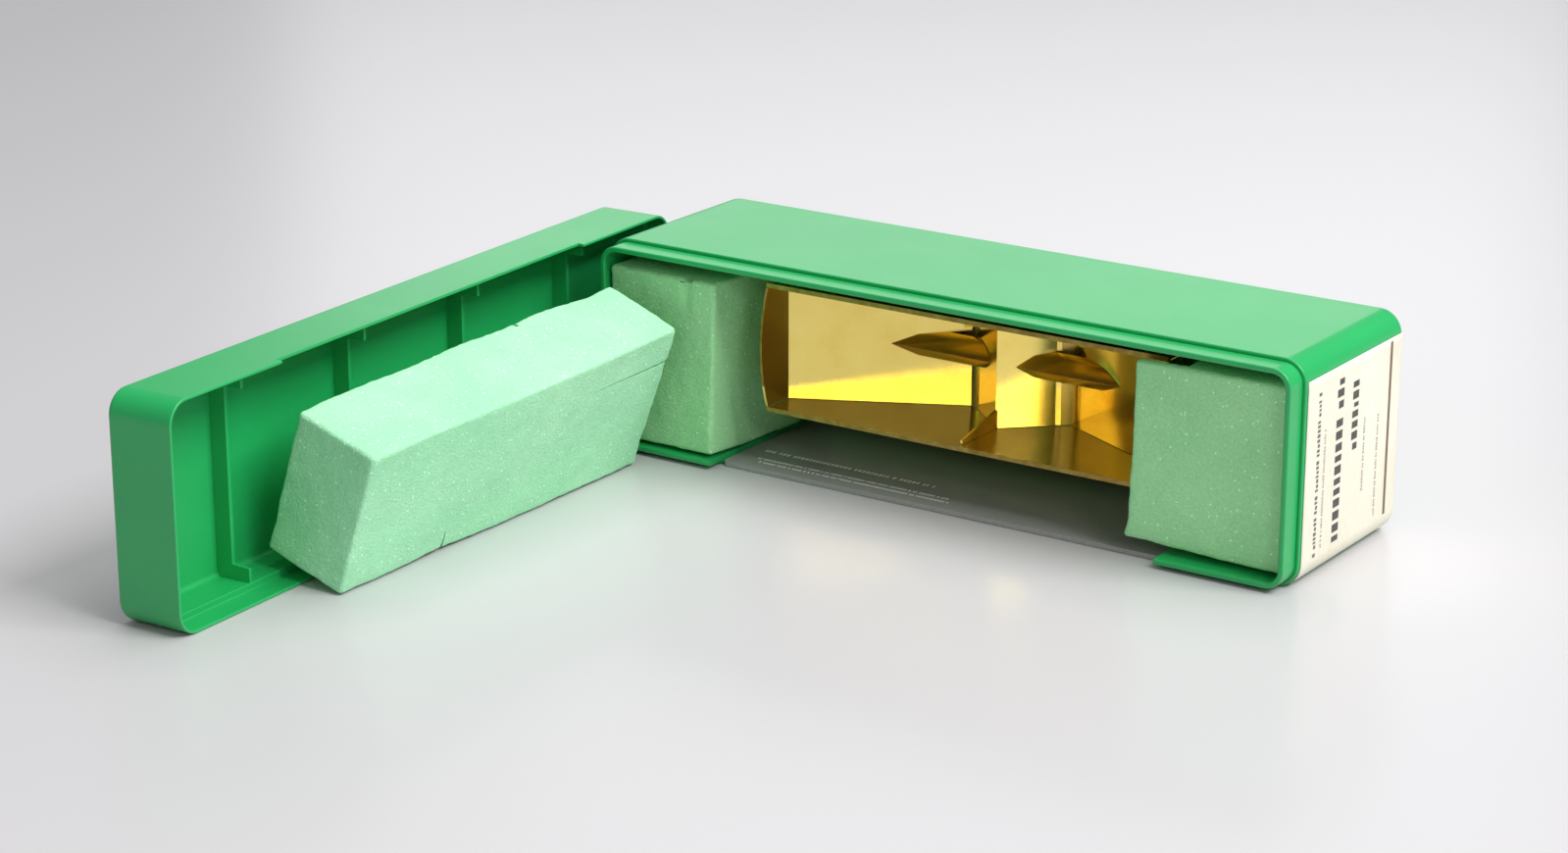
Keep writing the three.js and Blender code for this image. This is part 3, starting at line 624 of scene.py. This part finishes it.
def lid_ribs():
    """Each rib is low along the floor and steps up to a gusset by each long wall, thinner at its
    free edge."""
    d = LID_DEPTH - WALL
    top = CASE_HEIGHT
    near, low, foot = LIP_REACH + 0.6, d - 5, WALL - 0.4
    edge = [(d + 0.4, foot), (near, foot), (near, GUSSET), (low, GUSSET + 0.3)]
    edge += [(y, top - z) for y, z in reversed(edge)]
    shapes = []
    for x in LID_RIBS:
        left = [(x - RIB_HALF - RIB_TAPER * y, y, z) for y, z in edge]
        right = [(x + RIB_HALF + RIB_TAPER * y, y, z) for y, z in edge]
        count = len(edge)
        faces = [list(range(count)), list(range(count, 2 * count))[::-1]]
        faces += [[i, (i + 1) % count, count + (i + 1) % count, count + i] for i in range(count)]
        shapes.append((to_lid(left + right), faces))
    return joined(*shapes)


# ---- foam -------------------------------------------------------------------------------
def foam_block(x, y, z, radius=1.2, step=1.3):
    """The skin of a block with rounded edges, and the way out of it at each point. A point p of
    the plain block's skin goes to c + r (p - c) / |p - c|, with c the nearest point of the block
    shrunk by the radius r."""
    low, high = np.array([x, y, z], float).T
    centre, half = (low + high) / 2, (high - low) / 2
    skins = []
    for axis in range(3):
        a, b = [i for i in range(3) if i != axis]
        us = edge_spaced(half[a], radius, step)
        vs = edge_spaced(half[b], radius, step)
        u, v = np.meshgrid(us, vs, indexing="ij")
        for side in (-1, 1):
            p = np.zeros((u.size, 3))
            p[:, a], p[:, b], p[:, axis] = u.ravel(), v.ravel(), side * half[axis]
            skins.append((p, grid_faces(len(us), len(vs))))
    points, faces = joined(*skins)
    core = np.clip(points, radius - half, half - radius)
    out = points - core
    out /= np.linalg.norm(out, axis=1)[:, None]
    return core + out * radius + centre, faces, out


def edge_spaced(half, radius, step):
    """Positions from -half to half, closer together in the rounded edges."""
    inner = half - radius
    flat = np.linspace(-inner, inner, max(2, round(2 * inner / step)))
    turn = inner + radius * np.tan(np.linspace(0, math.pi / 4, 4)[1:])
    return np.concatenate([-turn[::-1], flat, turn])


FOAM_SHARP = 80


def lumps(points, seed, height, middle):
    """Waves of three sizes that roughen a cut foam face, in millimetres: 30 mm ones of the given
    height, then shallow ones of the middle size and of 2.4 mm."""
    broad = waves(points, 30, seed) * height
    return broad + waves(points, middle, seed + 1) * 0.08 + waves(points, 2.4, seed + 2) * 0.06


def foam_piece(name, node, body, points, faces, out, seed):
    moved = points + out * lumps(points, seed, 0.25, 7)[:, None]
    obj = piece(name, moved, faces, "pad_foam", body, (node,), FOAM_SHARP, "foam")
    return obj


def foam_pads():
    """The three pads in the base. The left one's free face leans away from the car towards the
    front, most of all near the floor, and bulges by 0.5 sin(pi depth). A short slit marks its
    front upper edge."""
    lo, hi = node_box("foam_pad_left")
    gap = 0.4
    points, faces, out = foam_block(
        (lo[0] + gap, hi[0]), (lo[1] + gap, hi[1] - gap), (lo[2] + gap, hi[2] - gap)
    )
    along, depth, rise = ((points - lo) / (hi - lo)).T
    lean = (1 - depth) * (3.4 - 1.7 * rise)
    points[:, 0] -= along * (lean - 0.5 * np.sin(np.pi * depth))
    slit_x, slit_width = -78, 0.9
    across = (points[:, 0] - slit_x) / slit_width
    slit = np.exp(-(across**2)) * np.clip(rise - 0.8, 0, 1) * 5
    points[:, 1] += slit * 1.6 * (depth < 0.06)
    points[:, 2] -= slit * 1.8 * (rise > 0.97) * np.clip(1 - depth * 6, 0, 1)
    foam_piece("foam_pad_left_soft", "foam_pad_left", "case", points, faces, out, 11)
    lo, hi = node_box("foam_pad_back")
    gap = 0.3
    points, faces, out = foam_block(
        (lo[0], hi[0]), (lo[1] + gap, hi[1] - gap), (lo[2] + gap, hi[2] - gap), step=2.5
    )
    foam_piece("foam_pad_back_soft", "foam_pad_back", "case", points, faces, out, 31)
    right_pad()


BLOCK_START = 75.0


def right_pad():
    """A thick block at the case's end, and a thin flap of it in front of the car's end. Its free
    edge moves in by 1.5 mm and 0.8 mm more at the top, and its lower edge rises by 1.6 mm there."""
    lo, hi = node_box("foam_pad_right")
    points, faces, out = foam_block(
        (lo[0] + 0.2, hi[0] - 0.2), (lo[1] + 0.3, hi[1] - 0.3), (lo[2] + 0.3, hi[2] - 0.2)
    )
    along, _, rise = ((points - lo) / (hi - lo)).T
    points[:, 0] += (1 - along) * (1.5 * np.clip(rise / 0.1, 0, 1) + 0.8 * rise)
    points[:, 2] += (1 - along) * (1 - rise) * 1.6
    pad = foam_piece("foam_pad_right_soft", "foam_pad_right", "right_pad", points, faces, out, 23)
    flap_thickness = 1.75
    recess = box_mesh(
        (lo[0] - 5, BLOCK_START), (lo[1] + flap_thickness, hi[1] + 5), (lo[2] - 5, hi[2] + 5)
    )
    carve(pad, recess)
    smooth(pad, 50)


STRIP_LENGTH, STRIP_WIDTH, STRIP_HEIGHT = 125.0, 25.0, 43.5
STRIP_LEAN, STRIP_TURN = math.radians(18.6), math.radians(0.4)
STRIP_PLACE = np.array([-88.4, -164.9, 0.1])


def to_strip(points):
    """From the strip's own frame (y along, -x across, z up) to where it leans."""
    c, s = math.cos(STRIP_LEAN), math.sin(STRIP_LEAN)
    tilt = np.array([[c, 0, s], [0, 1, 0], [-s, 0, c]])
    c, s = math.cos(STRIP_TURN), math.sin(STRIP_TURN)
    spin = np.array([[c, -s, 0], [s, c, 0], [0, 0, 1]])
    return np.asarray(points, float) @ (spin @ tilt).T + STRIP_PLACE


def loose_strip():
    """A cut strip. With a along it and r up it from 0 to 1: the near end droops by
    3.2 r (1 - a)^3, the front face bows out by 1.6 r sin(pi a), the far upper corner curls, and
    knife cuts show in two edges and one end."""
    length, width, height = STRIP_LENGTH, STRIP_WIDTH, STRIP_HEIGHT
    points, faces, out = foam_block((-width, 0), (0, length), (0.1, height), 1.1, 1.2)
    along, rise = points[:, 1] / length, points[:, 2] / height
    back = -points[:, 0] / width
    points[:, 2] -= rise * (3.2 * (1 - along) ** 3)
    points[:, 0] += rise * 1.6 * np.sin(np.pi * along) * (1 - back)
    points[:, 1] += rise * (along > 0.5) * 1.2 * back + (rise > 0.79) * (along > 0.98) * 1.0
    points[:, 2] += np.clip(along - 0.93, 0, 1) * np.clip(rise - 0.8, 0, 1) * back * 60
    shift = out * lumps(points, 5, 0.3, 6)[:, None]
    below_rest = points[:, 2] + shift[:, 2] < 0.1
    moved = to_strip(points + shift * np.where(below_rest, 0, 1)[:, None])
    strip = piece(
        "foam_strip_soft", moved, faces, "foam", "loose_strip", ("foam_strip",), FOAM_SHARP
    )
    nicks = [knife_cut((-width, y, height - 0.2), 2) for y in (37, 84)]
    carve(strip, *nicks, knife_cut((0.2, 40, 0.5), 3), end_slit())
    smooth(strip, 60)


CUT_HALF = 0.8


def knife_cut(at, reach):
    """A thin three-sided bar across an edge of the strip, wide below and narrow above."""
    x, y, z = at
    top = z + reach * 2
    points = []
    for side, low in ((x - reach, z - reach), (x + reach, z - reach * 0.2)):
        points += [(side, y - CUT_HALF, low), (side, y + CUT_HALF, low), (side, y, top)]
    faces = [(0, 1, 2), (3, 5, 4), (0, 3, 4, 1), (1, 4, 5, 2), (2, 5, 3, 0)]
    return to_strip(points), faces


def end_slit():
    """A slit that opens towards the strip's far end, below its top layer."""
    z, near, far = STRIP_HEIGHT * 0.77, STRIP_LENGTH - 46, STRIP_LENGTH + 2
    sides, half = (1, -14), 0.5
    points = [(x, near, z) for x in sides]
    points += [(x, far, z + rise) for rise in (half, -half) for x in sides]
    faces = [(0, 1, 3, 2), (0, 4, 5, 1), (2, 3, 5, 4), (0, 2, 4), (1, 5, 3)]
    return to_strip(points), faces


# ---- label and printing -----------------------------------------------------------------
LABEL_GAP = 0.12
LABEL_THICKNESS = 0.1
LABEL_WRAP = -58
BACK_EDGE = 1.5


def end_label():
    """A paper sheet that follows the flat end, the rounding below it, as an arc about the case's
    corner centre, and the small rounding at the back."""
    lo, hi = node_box("end_label")
    outer = CASE_HALF + LABEL_GAP
    turn = np.radians(np.linspace(LABEL_WRAP, 0, 12))
    centre = CASE_HALF - CORNER
    radius = outer - centre
    bend = np.stack([centre + radius * np.cos(turn), CORNER + radius * np.sin(turn)], 1)
    flat = np.stack([np.full(24, outer), np.linspace(CORNER, hi[2], 25)[1:]], 1)
    line = np.concatenate([bend, flat])
    back_turn = np.radians([30, 60, 85])
    level = np.linspace(lo[1], BASE_BACK - BACK_EDGE, 30)
    depth = np.concatenate([level, BASE_BACK - BACK_EDGE + 1.3 * np.sin(back_turn)])
    pull = np.concatenate([np.zeros(30), BACK_EDGE * (1 - np.cos(back_turn))])
    x = line[:, 0][:, None] - pull[None, :]
    y = np.repeat(depth[None, :], len(line), 0)
    z = np.repeat(line[:, 1][:, None], len(depth), 1)
    points = np.stack([x, y, z], -1).reshape(-1, 3)
    faces = grid_faces(*x.shape)
    label = piece("end_label_paper", points, faces, "label_paper", "case", ("end_label",))
    thick = label.modifiers.new("paper", "SOLIDIFY")
    thick.thickness = LABEL_THICKNESS * MM
    thick.offset = 1
    label_printing(outer + LABEL_THICKNESS + 0.03)


def word_bars(rng, start, end, tall):
    """Letter-sized bars (from, to) along a line of print, with gaps between letters and words."""
    bars, at = [], start
    while at < end - tall * 0.4:
        size = rng.uniform(0.35, 0.65) * tall
        bars.append((at, min(at + size, end)))
        at += size + tall * rng.choice([0.3, 0.3, 0.3, 0.3, 0.8])
    return bars


INK_THICKNESS = 0.02
# (place along y, height of the letters, start, end, ink)
LABEL_ROWS = (
    (-18.2, 1.5, 6.5, 50, "ink_grey"),
    (-14.6, 0.9, 8, 40, "faint_ink"),
    (-6.6, 3.6, 7.5, 50.8, "ink"),
    (2.2, 3.3, 29.7, 49.5, "ink"),
    (8.0, 0.9, 17, 37, "faint_ink"),
    (15.9, 0.9, 8, 36, "faint_ink"),
)
# (distance from the base's front, height of the letters, start, end)
WINDOW_ROWS = ((4.0, 1.0, -60, 2), (6.6, 1.0, -62, 0), (13.2, 1.6, -64, -8))


def label_printing(x):
    """Rows of plain bars that run up the label in place of words, and a thin brown band near its
    back edge.
    """
    rng = np.random.default_rng(4)
    for index, (y, tall, start, end, ink) in enumerate(LABEL_ROWS):
        shapes = []
        for a, b in word_bars(rng, start, end, tall):
            drop = rng.choice([0, 0, 0.25]) * tall
            width = (y - tall / 2 + drop, y + tall / 2)
            shapes.append(box_mesh((x, x + INK_THICKNESS), width, (a, b)))
        piece(f"label_line_{index}", *joined(*shapes), ink, "case")
    # A thin brown band along the label near its back edge.
    band = box_mesh((x, x + INK_THICKNESS), (21.6, 22.9), (6.5, CASE_HEIGHT - 6.5))
    piece("label_back_band", *band, "border_ink", "case")


def window_printing():
    """Three rows of plain white bars near the front edge of the window."""
    rng = np.random.default_rng(9)
    _, (_, _, pane_top) = node_box("side_window")
    level = (pane_top + 0.02, pane_top + 0.02 + INK_THICKNESS)
    for index, (depth, tall, start, end) in enumerate(WINDOW_ROWS):
        width = (BASE_FRONT + depth - tall / 2, BASE_FRONT + depth + tall / 2)
        shapes = [box_mesh(bar, width, level) for bar in word_bars(rng, start, end, tall)]
        piece(f"window_line_{index}", *joined(*shapes), "white_ink", "case")


# ---- car --------------------------------------------------------------------------------
def refined(node, finish, width):
    """A copy of a CAD piece with merged faces and softly rounded edges."""
    source = frame["nodes"][node]
    obj = bpy.data.objects.new(node + "_fine", source.data.copy())
    bpy.context.scene.collection.objects.link(obj)
    bm = bmesh.new()
    bm.from_mesh(obj.data)
    bmesh.ops.remove_doubles(bm, verts=bm.verts, dist=2e-6)
    bmesh.ops.dissolve_limit(bm, angle_limit=math.radians(1), verts=bm.verts, edges=bm.edges)
    bm.to_mesh(obj.data)
    bm.free()
    obj.data.materials.clear()
    obj.data.materials.append(FINISH[finish])
    bevel(obj, width, 30)
    settle(obj, NODE_BODY[node], (node,))
    return obj


CAST = (
    "hopper_door",
    "truck_frame",
    "truck_bolster",
    "body_bolster",
    "coupler_box",
    "brake_housing",
    "brake_wheel",
)
CASE_SLOTS = ("case_plastic", "foam", "label_paper", "window_plastic")
SHEET_EDGE, CAST_EDGE = 0.03, 0.1


def hard_parts():
    """Every metal piece of the car gets its finish and rounded edges, sheets a sharper one."""
    for node in sorted(frame["nodes"]):
        slot = NODE_SLOT[node]
        if node.startswith("wheelset") or slot in CASE_SLOTS:
            continue
        finish = slot
        if node.startswith(CAST):
            finish = "cast_brass"
        elif node.startswith("car_side"):
            finish = "side_brass"
        is_sheet = any(word in node for word in ("side", "sheet", "ridge"))
        obj = refined(node, finish, SHEET_EDGE if is_sheet else CAST_EDGE)
        # The rim faces of sides and end sheets get painted shade and dark reflection.
        if node.startswith(("car_side", "end_sheet")):
            paint_rim_shade(obj)


RIM_DEPTH = 1.2


def paint_rim_shade(obj):
    """Painted shade: the faces round the open top that face the rim get a dark brass, standing in
    for their shade and dark reflections.
    """
    obj.data.materials.append(FINISH["rim_shade_brass"])
    rim = min(vertex.co.y for vertex in obj.data.vertices)
    for face in obj.data.polygons:
        if face.normal.y < -0.5 and face.center.y < rim + RIM_DEPTH * MM:
            face.material_index = 1


# (radius, distance from the axle's middle): axle, inner hub and plate, flange, tread, outer plate
# and hub, and the pointed axle end
WHEEL_HALF = (
    ((1.05, 0), (1.1, 6.6), (1.5, 7.0), (1.9, 7.2), (2.3, 7.28), (3.9, 7.28), (4.2, 7.2))
    + ((5.25, 7.2), (5.42, 7.28), (5.5, 7.5), (5.42, 7.72), (5.2, 7.92), (4.95, 8.1))
    + ((4.82, 8.35), (4.72, 9.65), (4.6, 9.8), (4.2, 9.8), (4.05, 9.7))
    + ((3.9, 9.25), (2.9, 9.1), (2.0, 9.3), (1.8, 9.5), (1.7, 9.95), (1.6, 10.0))
    + ((0.75, 10.02), (0.74, 11.9), (0.5, 12.2), (0.0, 12.2))
)
WHEEL_STEPS = 64


def wheelsets():
    """Turned wheels and axle: the profile spun about the axle."""
    upper = np.array(WHEEL_HALF)
    profile = np.concatenate([upper[:0:-1] * [1, -1], upper])
    around = np.linspace(0, 2 * np.pi, WHEEL_STEPS, endpoint=False)
    for node in sorted(n for n in frame["nodes"] if n.startswith("wheelset")):
        lo, hi = node_box(node)
        centre = (lo + hi) / 2
        r, along = profile[:, 0][:, None], profile[:, 1][:, None]
        x = centre[0] + r * np.cos(around)
        y = centre[1] + r * np.sin(around)
        z = centre[2] + along + np.zeros_like(x)
        points = np.stack([x, y, z], -1).reshape(-1, 3)
        faces = grid_faces(len(profile), WHEEL_STEPS, close_columns=True)
        piece(node + "_turned", points, faces, "wheel_metal", NODE_BODY[node], (node,))


def window_pane():
    """The clear pane, with rounded corners and edges."""
    lo, hi = node_box("side_window")
    points, faces = rounded_block((lo[0], hi[0]), (lo[1], hi[1]), (lo[2], hi[2]), 2.2)
    pane = piece("side_window_pane", points, faces, "window_plastic", "case", ("side_window",))
    bevel(pane, 0.2)


def hinge_covers():
    """A thin sloping lip along each foot of the centre ridge, on both sides of the sill hood. It
    covers the door hinge below it."""
    lo, hi = node_box("centre_ridge")
    length, overlap, slope = 14.6, 0.6, 0.5
    shapes = []
    for side, foot in ((-1, lo[0]), (1, hi[0])):
        for z in ((lo[2] + 0.1, lo[2] + length), (hi[2] - length, hi[2] - 0.1)):
            points, faces = box_mesh((-overlap, 1.3), (0, 0.14), z)
            points[:, 1] += hi[1] - 1.06 + slope * (points[:, 0] + overlap)
            points[:, 0] = foot + side * points[:, 0]
            shapes.append((points, faces))
    piece("hinge_covers", *joined(*shapes), "brass", "car")


# ---- build ------------------------------------------------------------------------------
set_camera()
studio()
case_base()
case_lid()
window_pane()
foam_pads()
loose_strip()
end_label()
window_printing()
hard_parts()
hinge_covers()
wheelsets()
